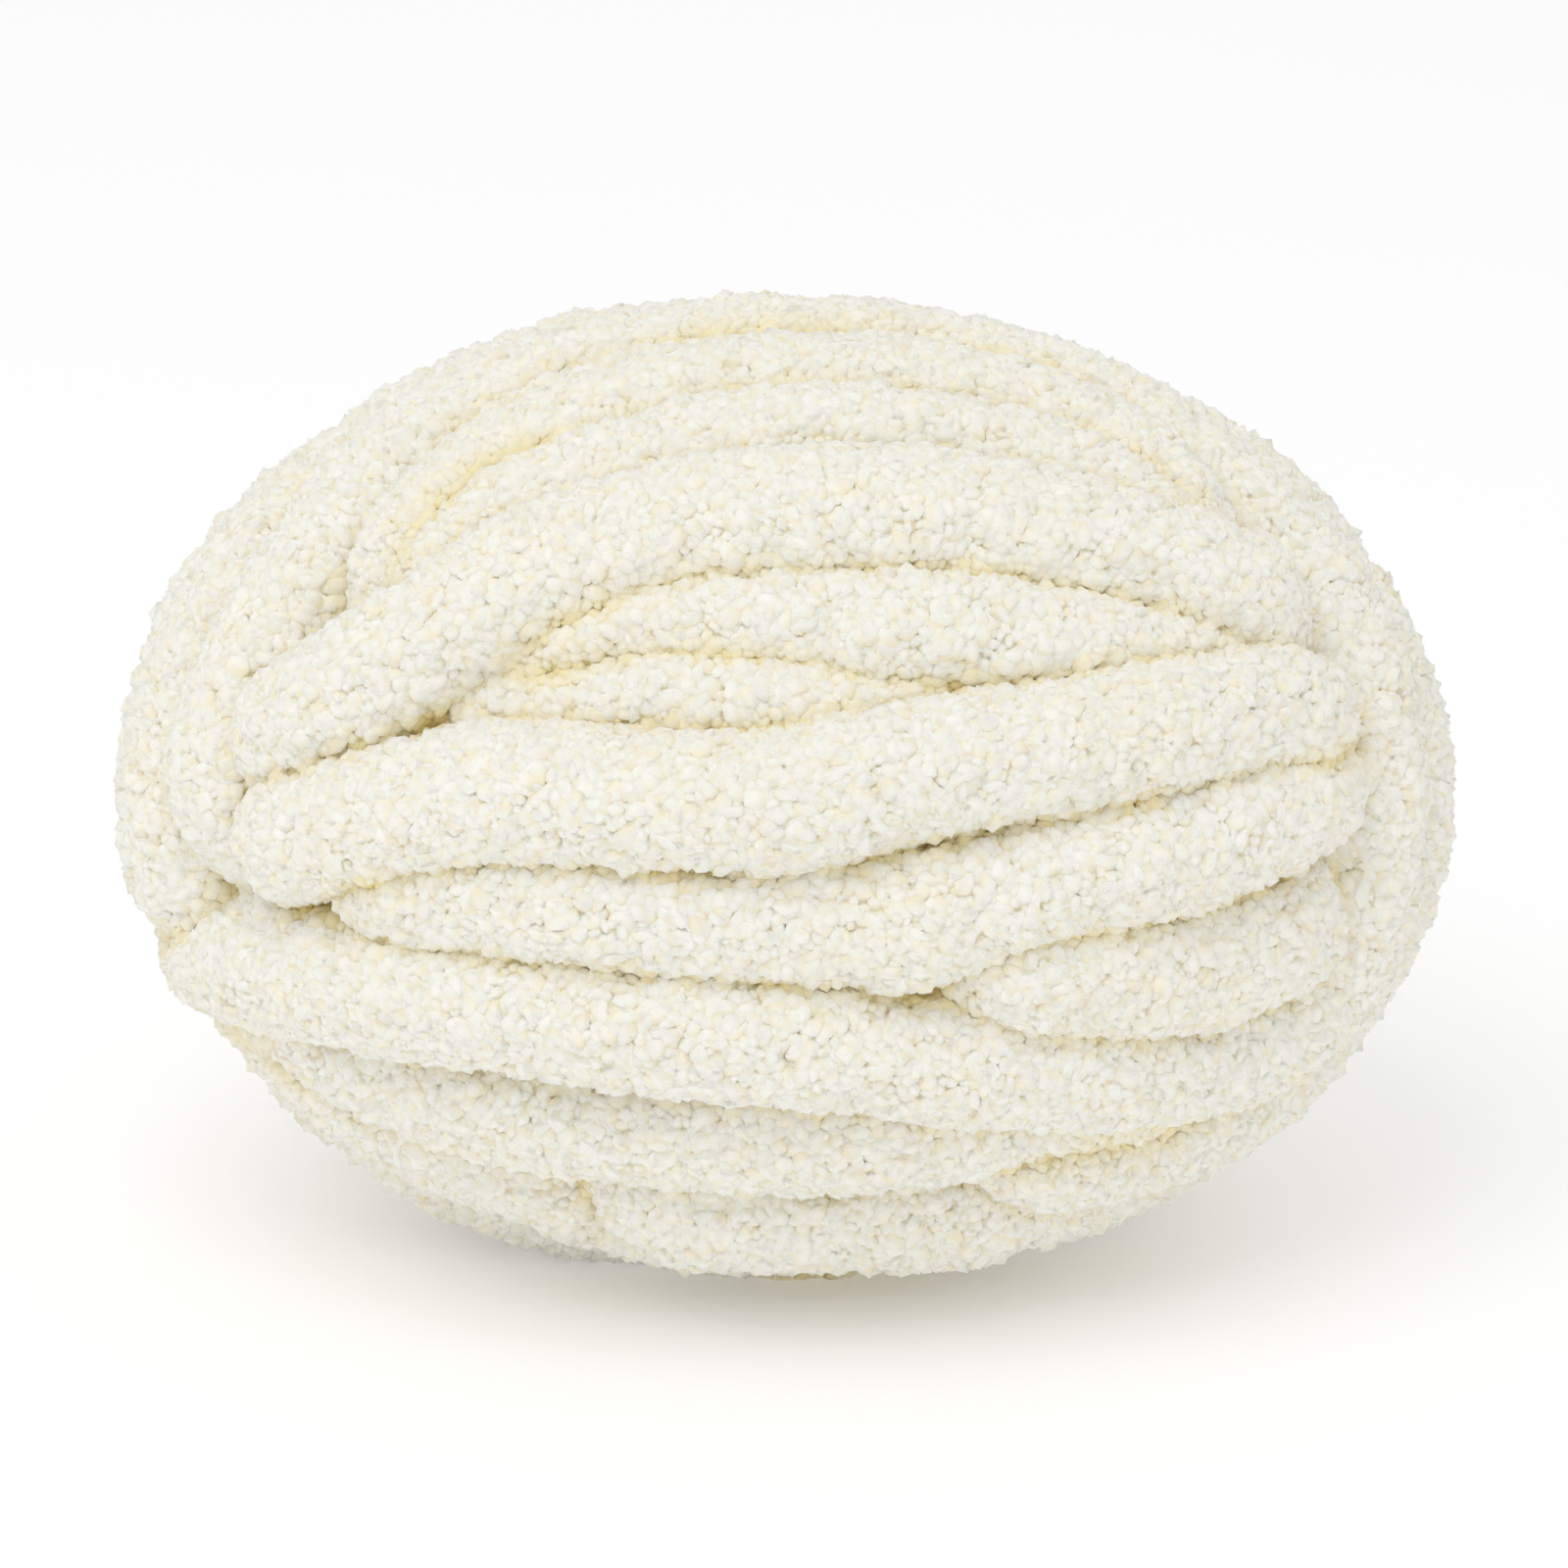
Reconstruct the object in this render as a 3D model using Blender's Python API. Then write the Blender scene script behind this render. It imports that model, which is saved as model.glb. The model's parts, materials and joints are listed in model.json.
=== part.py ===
"""A hand-wound oval ball of jumbo chenille yarn, as one solid of its wound form.

Every turn that shows is a round length of yarn laid over an ellipsoid. The turns and the inner
winding are fused into one closed body, and the ball's own weight presses its underside flat.
"""

import math
from collections import namedtuple

import bpy
from mathutils import Matrix, Vector

# Driving dimensions, in metres.
BALL_LENGTH = 0.221
BALL_THICKNESS = 0.165
YARN_DIAMETER = 0.0222
FLAT_DEPTH = 0.005
INNER_WINDING_DEPTH = 0.0165

# The end of a turn goes down into the ball on an arc.
DIVE_RADIUS = 0.008
DIVE_TURN = math.radians(80)
DIVE_STEPS = 4

# The yarn's thickness swells and shrinks a little along its length.
SWELL = 0.03
SWELL_LENGTH = 0.057

# The middle of the face with the long turns looks up by this much.
FACE_TILT = math.radians(20)

# The yarn pressed together under the ball fills its creases inside this share of the flat spot.
PRESSED_SHARE = 0.94
PRESSED_THICKNESS = 0.012

# Mesh sizes.
ROUTE_STEP = math.radians(2.5)
YARN_SIDES_LEVEL = 4
ELLIPSOID_SEGMENTS = 64
FUSING_CELL = 0.0022
TRIANGLE_LIMIT = 9400

HALF_LENGTH = BALL_LENGTH / 2
HALF_THICKNESS = BALL_THICKNESS / 2
YARN_RADIUS = YARN_DIAMETER / 2
FLOOR_LEVEL = FLAT_DEPTH - HALF_THICKNESS

# One row is one stretch of yarn. proud is how far it stands out of the ball, in millimetres, and
# girth is its thickness against the full yarn. Both its ends dive under their neighbours.
Turn = namedtuple("Turn", "name proud girth points")

# Turns along the ball. Their points are (along, roll) in degrees. along runs from -90 at the left
# pole to 90 at the right pole. roll runs round the long axis: 0 is the middle of the face, 90 its
# top edge, 180 the middle of the back and 270 the bottom edge.
LONG_TURNS = (
    Turn("front_0", -4, 1.00, ((-26, 64), (0, 77), (28, 73))),
    Turn("front_1", -1, 1.00, ((-34, 43), (-25, 54), (0, 64), (25, 66), (38, 53))),
    Turn("front_2", -1, 0.97, ((-31, 36), (-25, 43), (0, 51), (25, 52), (36, 46))),
    Turn("front_3", 3, 1.00, ((-46, 14), (-36, 20), (-25, 28), (-12, 34), (0, 36), (25, 37), (43, 36))),
    Turn("front_4_left", -4, 0.95, ((-20, 22), (-12, 24), (0, 24), (15, 22))),
    Turn("front_4_right", -2, 1.00, ((11, 22), (20, 22), (28, 22), (39, 23))),
    Turn("front_5", -6, 0.95, ((-26, 13), (-12, 13), (0, 11), (12, 10))),
    Turn("front_6", 4, 0.96, (
        (-46, -7), (-36, -3), (-25, 0), (-12, -1), (0, -1), (10, 2), (25, 6), (42, 13), (50, 15),
    )),
    Turn("front_7_left", -2, 0.95, ((-36, -16), (-25, -15), (-12, -16), (0, -17), (14, -17))),
    Turn("front_7_right", 1, 1.00, ((12, -16), (25, -12), (39, -8), (50, -3), (53, -1))),
    Turn("front_8", -1, 1.05, ((24, -25), (31, -28), (40, -31), (51, -33))),
    Turn("front_10", -3, 1.00, (
        (-57, -68), (-46, -61), (-36, -57), (-25, -54), (0, -52), (19, -53), (33, -59),
    )),
    Turn("back_1", -2, 1.00, ((-43, 119), (-25, 128), (0, 132), (25, 130), (38, 124))),
    Turn("back_2", 1, 1.00, ((-49, 136), (-25, 146), (0, 149), (25, 144), (43, 138))),
    Turn("back_3", -3, 0.97, ((-50, 160), (-25, 163), (0, 163), (25, 157), (44, 158))),
    Turn("back_4", 2, 1.03, ((-51, 184), (-25, 181), (0, 176), (25, 169), (45, 167))),
    Turn("back_5", -2, 1.00, ((-48, 203), (-25, 196), (0, 191), (25, 185), (44, 187))),
    Turn("back_6", 2, 0.98, ((-48, 216), (-25, 213), (0, 209), (25, 203), (45, 209))),
    Turn("back_7", -2, 1.00, ((-42, 231), (-25, 231), (0, 226), (25, 220), (42, 227))),
)

# Turns round the rim of the face. Their points are (bearing, ahead) in degrees. bearing runs round
# the rim: 0 is the right pole, 90 the top, 180 the left pole and 270 the bottom. ahead is how far
# the yarn lies in front of the rim. The first turn runs over the ends of all the front turns and
# crosses the lower face, and its far end goes round the left pole to the back.
RIM_TURNS = (
    Turn("rim_1", 1, 1.00, (
        (176, 27), (163, 28), (147, 26), (126, 17), (107, 10), (90, 6), (70, 5), (50, 10),
        (32, 15), (16, 17), (0, 18), (-19, 15), (-30, 15), (-37, 18), (-55, 42), (-73, 53), (-90, 57),
        (-112, 56), (-133, 51), (-152, 32), (-158, 12), (-161, -8), (-162, -27), (-160, -42),
    )),
    Turn("rim_2", 1, 1.00, (
        (184, 12), (163, 15), (147, 14), (126, 6), (107, -2), (90, -7), (60, -6), (30, 1),
        (0, 4), (-25, 2), (-40, 6), (-52, 15), (-61, 23),
    )),
    Turn("rim_3", 1, 1.00, (
        (184, -2), (165, -1), (150, -1), (120, -10), (90, -20), (60, -17), (30, -12),
        (0, -10), (-30, -10), (-50, 0), (-65, 11), (-78, 18), (-90, 21), (-99, 21),
    )),
    Turn("rim_4", 1, 1.00, (
        (184, -17), (150, -16), (120, -24), (90, -32), (60, -30), (30, -26), (0, -24), (-30, -22),
        (-60, -14), (-90, -11), (-120, -7), (-139, -10),
    )),
    Turn("rim_5", 1, 1.00, (
        (-140, -27), (-120, -24), (-90, -26), (-60, -27), (-30, -34), (-10, -38), (8, -39), (18, -39),
    )),
    Turn("rim_0", -4, 1.00, ((-145, 5), (-120, 4), (-90, 4), (-60, -2))),
    Turn("rim_6", -2, 1.00, (
        (-158, 3), (-147, 7), (-138, 11), (-127, 14), (-115, 15), (-100, 10), (-85, 7), (-60, -2),
    )),
)


def face_direction(along, roll):
    """The unit direction, in the ball's frame, of a point given along and round the long axis."""
    turned = math.radians(roll) + FACE_TILT
    side = math.cos(math.radians(along))
    return Vector((math.sin(math.radians(along)), -side * math.cos(turned), side * math.sin(turned)))


def rim_direction(bearing, ahead):
    """The unit direction, in the ball's frame, of a point given round the face's rim."""
    toward = math.sin(math.radians(ahead))
    across = math.cos(math.radians(ahead))
    up = across * math.sin(math.radians(bearing))
    return Vector((
        across * math.cos(math.radians(bearing)),
        up * math.sin(FACE_TILT) - toward * math.cos(FACE_TILT),
        up * math.cos(FACE_TILT) + toward * math.sin(FACE_TILT),
    ))


def smooth_route(directions):
    """Directions close together on one smooth route through the given ones."""
    first, last = directions[0] * 2 - directions[1], directions[-1] * 2 - directions[-2]
    knots = [first] + directions + [last]
    route = []
    for before, start, end, after in zip(knots, knots[1:], knots[2:], knots[3:]):
        steps = max(2, round(start.angle(end) / ROUTE_STEP))
        for t in (k / steps for k in range(steps)):
            point = (
                start * 2
                + (end - before) * t
                + (before * 2 - start * 5 + end * 4 - after) * t**2
                + (start * 3 - before - end * 3 + after) * t**3
            )
            route.append(point.normalized())
    return route + [directions[-1]]


def place_on_ball(direction, depth):
    """The point this deep under the ball's surface in the given direction."""
    half_axes = Vector((HALF_LENGTH, HALF_THICKNESS, HALF_THICKNESS))
    surface = direction * half_axes
    normal = Vector([part / half for part, half in zip(direction, half_axes)]).normalized()
    return surface - normal * depth


def dive(last, before):
    """Points that go on from a line's last one and turn down into the ball on an arc."""
    forward = (last - before).normalized()
    inward = Vector((-last.x / HALF_LENGTH**2, -last.y / HALF_THICKNESS**2, -last.z / HALF_THICKNESS**2))
    inward = (inward - forward * inward.dot(forward)).normalized()
    turned = [DIVE_TURN * k / DIVE_STEPS for k in range(1, DIVE_STEPS + 1)]
    arc = [last + (forward * math.sin(a) + inward * (1 - math.cos(a))) * DIVE_RADIUS for a in turned]
    return arc + [arc[-1] + inward * DIVE_RADIUS]


def turn_line(turn, direction_of):
    """The turn's centre line, as (point, girth) pairs."""
    route = smooth_route([direction_of(*point) for point in turn.points])
    line = [place_on_ball(direction, YARN_RADIUS - turn.proud / 1000) for direction in route]
    line = dive(line[0], line[1])[::-1] + line + dive(line[-1], line[-2])
    phase = line[0].angle(line[-1])
    pairs, walked = [], 0.0
    for previous, point in zip([line[0]] + line, line):
        walked += (point - previous).length
        swell = SWELL * math.sin(2 * math.pi * (walked / SWELL_LENGTH + phase))
        pairs.append((point, turn.girth * (1 + swell)))
    return pairs


def lay_turn(curve, turn, direction_of):
    """Adds one turn to the curve as a spline with the yarn's thickness."""
    line = turn_line(turn, direction_of)
    spline = curve.splines.new("POLY")
    spline.points.add(len(line) - 1)
    for control, (point, girth) in zip(spline.points, line):
        control.co = (*point, 1.0)
        control.radius = girth


def wound_turns():
    """All the turns that show, as one curve object with a spline for each."""
    curve = bpy.data.curves.new("turns", "CURVE")
    curve.dimensions = "3D"
    curve.bevel_depth = YARN_RADIUS
    curve.bevel_resolution = YARN_SIDES_LEVEL
    curve.use_fill_caps = True
    for turn in LONG_TURNS:
        lay_turn(curve, turn, face_direction)
    for turn in RIM_TURNS:
        lay_turn(curve, turn, rim_direction)
    turns = bpy.data.objects.new("turns", curve)
    bpy.context.collection.objects.link(turns)
    return turns


def add_ellipsoid(name, half_axes, centre):
    """A smooth closed ellipsoid."""
    bpy.ops.mesh.primitive_uv_sphere_add(
        segments=ELLIPSOID_SEGMENTS, ring_count=ELLIPSOID_SEGMENTS // 2, radius=1
    )
    ellipsoid = bpy.context.object
    ellipsoid.name = name
    ellipsoid.data.transform(Matrix.Translation(centre) @ Matrix.Diagonal((*half_axes, 1)))
    return ellipsoid


def inner_winding():
    """The turns under the ones that show, as one plain body."""
    across = HALF_THICKNESS - INNER_WINDING_DEPTH
    return add_ellipsoid("inner_winding", (HALF_LENGTH - INNER_WINDING_DEPTH, across, across), (0, 0, 0))


def pressed_underside():
    """The yarn that the ball's weight presses together where it rests."""
    spread = PRESSED_SHARE * math.sqrt(1 - (FLOOR_LEVEL / HALF_THICKNESS) ** 2)
    half_axes = (HALF_LENGTH * spread, HALF_THICKNESS * spread, PRESSED_THICKNESS)
    return add_ellipsoid("pressed_underside", half_axes, (0, 0, FLOOR_LEVEL))


def evaluated_mesh(thing):
    """The object's mesh with its modifiers applied."""
    graph = bpy.context.evaluated_depsgraph_get()
    return bpy.data.meshes.new_from_object(thing.evaluated_get(graph))


def joined(name, things):
    """One object from the meshes of several, which are removed."""
    meshes = [evaluated_mesh(thing) for thing in things]
    vertices, faces = [], []
    for mesh in meshes:
        first = len(vertices)
        vertices += [vertex.co.copy() for vertex in mesh.vertices]
        faces += [[first + i for i in polygon.vertices] for polygon in mesh.polygons]
        bpy.data.meshes.remove(mesh)
    for thing in things:
        bpy.data.objects.remove(thing)
    whole = bpy.data.meshes.new(name)
    whole.from_pydata(vertices, [], faces)
    body = bpy.data.objects.new(name, whole)
    bpy.context.collection.objects.link(body)
    return body


def fuse(body):
    """Turns overlapping lengths of yarn into one closed skin of a modest number of triangles."""
    remesh = body.modifiers.new("fuse", "REMESH")
    remesh.mode = "VOXEL"
    remesh.voxel_size = FUSING_CELL
    skin = evaluated_mesh(body)
    triangles = sum(len(polygon.vertices) - 2 for polygon in skin.polygons)
    bpy.data.meshes.remove(skin)
    thin = body.modifiers.new("thin", "DECIMATE")
    thin.ratio = min(1.0, TRIANGLE_LIMIT / triangles)


def press_flat(body):
    """Cuts the body off level where it rests, with a block that isn't part of the ball."""
    side = BALL_LENGTH * 2
    bpy.ops.mesh.primitive_cube_add(size=side, location=(0, 0, FLOOR_LEVEL - side / 2))
    block = bpy.context.object
    block.name = "resting_surface_cutter"
    cut = body.modifiers.new("press_flat", "BOOLEAN")
    cut.operation = "DIFFERENCE"
    cut.solver = "EXACT"
    cut.object = block
    body.data = evaluated_mesh(body)
    body.modifiers.clear()
    bpy.data.objects.remove(block)


def stand_at_origin(body):
    """Moves the mesh so that the middle of the box's underside is the origin."""
    corners = [vertex.co for vertex in body.data.vertices]
    middle_x = (min(c.x for c in corners) + max(c.x for c in corners)) / 2
    middle_y = (min(c.y for c in corners) + max(c.y for c in corners)) / 2
    body.data.transform(Matrix.Translation((-middle_x, -middle_y, -min(c.z for c in corners))))


def cream_chenille():
    """The yarn's matt cream finish."""
    material = bpy.data.materials.new("chenille_yarn")
    material.use_nodes = True
    shader = material.node_tree.nodes["Principled BSDF"]
    shader.inputs["Base Color"].default_value = (0.83, 0.79, 0.66, 1)
    shader.inputs["Roughness"].default_value = 0.95
    shader.inputs["Metallic"].default_value = 0
    return material


def main():
    for thing in list(bpy.data.objects):
        bpy.data.objects.remove(thing)
    ball = joined("yarn_ball", [wound_turns(), inner_winding(), pressed_underside()])
    fuse(ball)
    press_flat(ball)
    stand_at_origin(ball)
    ball.data.materials.clear()
    ball.data.materials.append(cream_chenille())
    ball.data.shade_smooth()


main()
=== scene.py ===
"""A hand-wound oval ball of jumbo chenille yarn, with its curly pile, on a pale studio floor.

The wound form is laid turn by turn over an ellipsoid and fused into one body. The pile is tens of
thousands of small soft tufts that grow on that body.
"""

import json
import math
import random
from collections import namedtuple

import bmesh
import bpy
import numpy as np
from bpy.props import FloatProperty, FloatVectorProperty, IntProperty, PointerProperty
from mathutils import Matrix, Vector
from mathutils.bvhtree import BVHTree

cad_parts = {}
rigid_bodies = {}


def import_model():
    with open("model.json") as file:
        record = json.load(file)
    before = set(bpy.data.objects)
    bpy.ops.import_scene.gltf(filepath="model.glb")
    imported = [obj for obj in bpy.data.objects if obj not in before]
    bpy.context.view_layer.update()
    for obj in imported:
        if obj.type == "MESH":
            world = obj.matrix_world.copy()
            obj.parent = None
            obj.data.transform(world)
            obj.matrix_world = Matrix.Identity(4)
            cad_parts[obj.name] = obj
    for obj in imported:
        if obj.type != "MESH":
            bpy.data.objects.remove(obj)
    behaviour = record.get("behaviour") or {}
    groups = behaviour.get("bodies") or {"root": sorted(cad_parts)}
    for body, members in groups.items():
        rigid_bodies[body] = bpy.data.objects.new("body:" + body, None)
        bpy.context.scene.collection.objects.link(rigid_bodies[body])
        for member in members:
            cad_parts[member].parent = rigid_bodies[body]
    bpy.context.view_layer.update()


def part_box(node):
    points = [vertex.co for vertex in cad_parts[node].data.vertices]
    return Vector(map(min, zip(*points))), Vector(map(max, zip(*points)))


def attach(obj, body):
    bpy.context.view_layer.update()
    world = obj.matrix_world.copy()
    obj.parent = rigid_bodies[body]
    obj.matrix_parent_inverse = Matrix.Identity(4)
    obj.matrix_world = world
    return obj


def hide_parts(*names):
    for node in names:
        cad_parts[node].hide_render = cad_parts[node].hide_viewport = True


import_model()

bl_info = {
    "name": "Chenille Yarn Ball",
    "version": (1, 0, 0),
    "blender": (4, 5, 0),
    "location": "3D View > Sidebar > Yarn Ball",
    "description": "Winds a ball of jumbo chenille yarn and grows its pile",
    "category": "Add Mesh",
}

BALL_NODE = "yarn_ball"
BODY = "root"

# The end of a turn goes down into the ball on an arc.
DIVE_TURN = math.radians(80)
DIVE_STEPS = 4

# The yarn's thickness swells and shrinks a little along its length.
SWELL = 0.03
SWELL_LENGTH = 0.057

# The middle of the face with the long turns looks up by this much.
FACE_TILT = math.radians(20)

# A turn's route is read off at steps of about this angle, seen from the ball's middle.
ROUTE_STEP = math.radians(2.5)

# The yarn that the ball's weight presses flat: its width against the resting face, and its height
# over the floor.
PRESSED_SHARE = 0.91
PRESSED_HEIGHT = 0.012

# Rounds of smoothing on the fused skin, and again once its seams are drawn in.
FUSED_ROUNDS = 4
SEAMED_ROUNDS = 2

# The skin stays in place at this value of the lumps' noise, and at this distance, in curd widths,
# from the middle of a curd. The noise keeps near its middle, so the gain stretches it.
LUMP_MIDDLE = 0.55
LUMP_GAIN = 3.0
CURD_MIDDLE = 0.5

# Rays that feel for neighbouring turns, and the height over the skin at which they start.
CREASE_RAYS = 14
RAY_START = 0.0005

# One tuft against its width: the least and most of its three sizes, and how far it may bend, how
# much it narrows towards its tip and how uneven it is.
TUFT_WIDE = (1.0, 1.35)
TUFT_THICK = (0.75, 1.0)
TUFT_TALL = (1.0, 1.2)
TUFT_BEND = 0.3
TUFT_TAPER = 0.3
TUFT_JITTER = 0.09

# How far a tuft's tip stands over its middle, against its width.
TUFT_REACH = 0.69

# A tuft in a seam against one on open yarn.
SEAM_TUFT = 0.8

# No tuft has its root lower than this over the floor.
ROOT_CLEARANCE = 0.0002

# Roots tried on a square metre, before those too close to another are dropped.
TRIED_ROOTS = 4e6

# A distance from the middle of the ball that is past both its ends.
PAST_BALL = 1.0

# Each random draw for a tuft has its own seed. A shape's drawn number wraps round the shapes.
LEAN_DRAW, WIDTH_DRAW, SHAPE_DRAW, TINT_DRAW = 1, 2, 3, 4
LAST_SHAPE_NUMBER = 999

# The place of the large soft light, from the middle of the floor, and its width.
KEY_PLACE = Vector((-0.5, -0.9, 1.8))
KEY_WIDTH = 1.4

# One row is one stretch of yarn. proud is how far it stands out of the ball, in millimetres, and
# girth is its thickness against the full yarn. Both its ends dive under their neighbours.
Turn = namedtuple("Turn", "name proud girth points")

# Turns along the ball. Their points are (along, roll) in degrees. along runs from -90 at the left
# pole to 90 at the right pole. roll runs round the long axis: 0 is the middle of the face, 90 its
# top edge, 180 the middle of the back and 270 the bottom edge.
LONG_TURNS = (
    Turn("front_0", -4, 1.00, ((-26, 64), (0, 77), (28, 73))),
    Turn("front_1", -1, 1.00, ((-34, 43), (-25, 54), (0, 64), (25, 66), (38, 53))),
    Turn("front_2", -1, 0.97, ((-31, 36), (-25, 43), (0, 51), (25, 52), (36, 46))),
    Turn("front_3", 3, 1.00, (
        (-46, 14), (-36, 20), (-25, 28), (-12, 34), (0, 36), (25, 37), (43, 36),
    )),
    Turn("front_4_left", -4, 0.95, ((-20, 22), (-12, 24), (0, 24), (15, 22))),
    Turn("front_4_right", -2, 1.00, ((11, 22), (20, 22), (28, 22), (39, 23))),
    Turn("front_5", -6, 0.95, ((-26, 13), (-12, 13), (0, 11), (12, 10))),
    Turn("front_6", 4, 0.96, (
        (-46, -7), (-36, -3), (-25, 0), (-12, -1), (0, -1), (10, 2), (25, 6), (42, 13), (50, 15),
    )),
    Turn("front_7_left", -2, 0.95, ((-36, -16), (-25, -15), (-12, -16), (0, -17), (14, -17))),
    Turn("front_7_right", 1, 1.00, ((12, -16), (25, -12), (39, -8), (50, -3), (53, -1))),
    Turn("front_8", -1, 1.05, ((24, -25), (31, -28), (40, -31), (51, -33))),
    Turn("front_10", -3, 1.00, (
        (-57, -68), (-46, -61), (-36, -57), (-25, -54), (0, -52), (19, -53), (33, -59),
    )),
    Turn("back_1", -2, 1.00, ((-43, 119), (-25, 128), (0, 132), (25, 130), (38, 124))),
    Turn("back_2", 1, 1.00, ((-49, 136), (-25, 146), (0, 149), (25, 144), (43, 138))),
    Turn("back_3", -3, 0.97, ((-50, 160), (-25, 163), (0, 163), (25, 157), (44, 158))),
    Turn("back_4", 2, 1.03, ((-51, 184), (-25, 181), (0, 176), (25, 169), (45, 167))),
    Turn("back_5", -2, 1.00, ((-48, 203), (-25, 196), (0, 191), (25, 185), (44, 187))),
    Turn("back_6", 2, 0.98, ((-48, 216), (-25, 213), (0, 209), (25, 203), (45, 209))),
    Turn("back_7", -2, 1.00, ((-42, 231), (-25, 231), (0, 226), (25, 220), (42, 227))),
)

# Turns round the rim of the face. Their points are (bearing, ahead) in degrees. bearing runs round
# the rim: 0 is the right pole, 90 the top, 180 the left pole and 270 the bottom. ahead is how far
# the yarn lies in front of the rim. The first turn runs over the ends of all the front turns and
# crosses the lower face, and its far end goes round the left pole to the back.
RIM_TURNS = (
    Turn("rim_1", 0, 1.00, (
        (176, 27), (163, 28), (147, 26), (126, 17), (107, 10), (90, 6), (70, 5), (50, 10),
        (32, 15), (16, 17), (0, 18), (-19, 15), (-30, 15), (-37, 18), (-55, 42), (-73, 53), (-90, 57),
        (-112, 56), (-132, 50.5), (-150, 32), (-156, 12), (-160, -8), (-162, -27), (-160, -42),
    )),
    Turn("rim_2", 1, 1.00, (
        (189, 11), (176, 14), (163, 15), (147, 14), (126, 6), (107, -2), (90, -7), (60, -6), (30, 1),
        (0, 4), (-25, 2), (-40, 6), (-52, 15), (-61, 23),
    )),
    Turn("rim_3", 1, 1.00, (
        (189, -3), (165, -1), (150, -1), (120, -10), (90, -20), (60, -17), (30, -12),
        (0, -10), (-30, -10), (-50, 0), (-65, 11), (-78, 18), (-90, 21), (-99, 21),
    )),
    Turn("rim_4", 1, 1.00, (
        (184, -17), (150, -16), (120, -24), (90, -32), (60, -30), (30, -26), (0, -24), (-30, -22),
        (-60, -14), (-90, -11), (-120, -7), (-139, -10),
    )),
    Turn("rim_5", 1, 1.00, (
        (-140, -27), (-120, -24), (-90, -26), (-60, -27), (-30, -34), (-10, -38), (8, -39), (18, -39),
    )),
    Turn("rim_0", -4, 1.00, ((-145, 5), (-120, 4), (-90, 4), (-60, -2))),
    Turn("rim_6", -2, 1.00, (
        (-158, 3), (-147, 7), (-138, 11), (-127, 14), (-115, 15), (-100, 10), (-85, 7), (-60, -2),
    )),
)


# ---------------------------------------------------------------- settings


class WindingSizes(bpy.types.PropertyGroup):
    """Sizes of the wound form."""

    ball_length: FloatProperty(
        name="Ball length", description="Length of the ball along its long axis",
        default=0.221, min=0.05, max=1, subtype="DISTANCE", unit="LENGTH",
    )
    ball_thickness: FloatProperty(
        name="Ball thickness", description="Thickness of the ball before its weight flattens it",
        default=0.165, min=0.05, max=1, subtype="DISTANCE", unit="LENGTH",
    )
    yarn_diameter: FloatProperty(
        name="Yarn diameter", description="Thickness of the yarn with its pile",
        default=0.0222, min=0.005, max=0.05, subtype="DISTANCE", unit="LENGTH",
    )
    flat_depth: FloatProperty(
        name="Flattened depth", description="How far the ball's weight flattens its underside",
        default=0.005, min=0, max=0.02, subtype="DISTANCE", unit="LENGTH",
    )
    inner_depth: FloatProperty(
        name="Inner winding depth", description="Depth of the inner winding under the ball's surface",
        default=0.0125, min=0.005, max=0.05, subtype="DISTANCE", unit="LENGTH",
    )
    squeeze: FloatProperty(
        name="Squeeze", description="How far neighbouring turns are pressed into each other",
        default=0.0005, min=0, max=0.005, subtype="DISTANCE", unit="LENGTH",
    )
    dive_radius: FloatProperty(
        name="Dive radius", description="Radius on which the end of a turn goes down into the ball",
        default=0.008, min=0.001, max=0.03, subtype="DISTANCE", unit="LENGTH",
    )
    fusing_cell: FloatProperty(
        name="Fusing cell", description="Cell size at which the turns are fused into one skin",
        default=0.00135, min=0.0005, max=0.005, subtype="DISTANCE", unit="LENGTH",
    )
    lump_height: FloatProperty(
        name="Lump height", description="Height of the soft lumps along the yarn",
        default=0.0008, min=0, max=0.005, subtype="DISTANCE", unit="LENGTH",
    )
    lump_width: FloatProperty(
        name="Lump width", description="Width of the soft lumps along the yarn",
        default=0.011, min=0.002, max=0.05, subtype="DISTANCE", unit="LENGTH",
    )
    curd_height: FloatProperty(
        name="Curd height", description="Height of the smaller curds along the yarn",
        default=0.0017, min=0, max=0.005, subtype="DISTANCE", unit="LENGTH",
    )
    curd_width: FloatProperty(
        name="Curd width", description="Width of the smaller curds along the yarn",
        default=0.005, min=0.002, max=0.05, subtype="DISTANCE", unit="LENGTH",
    )
    seam_width: FloatProperty(
        name="Seam width", description="Width over which the seam between two turns fades out",
        default=0.0018, min=0.0002, max=0.01, subtype="DISTANCE", unit="LENGTH",
    )
    seam_depth: FloatProperty(
        name="Seam depth", description="How far the seam between two turns is drawn in",
        default=0.0026, min=0, max=0.006, subtype="DISTANCE", unit="LENGTH",
    )
    crease_reach: FloatProperty(
        name="Crease reach", description="Distance at which a neighbouring turn still shades the yarn",
        default=0.014, min=0.002, max=0.05, subtype="DISTANCE", unit="LENGTH",
    )


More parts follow.
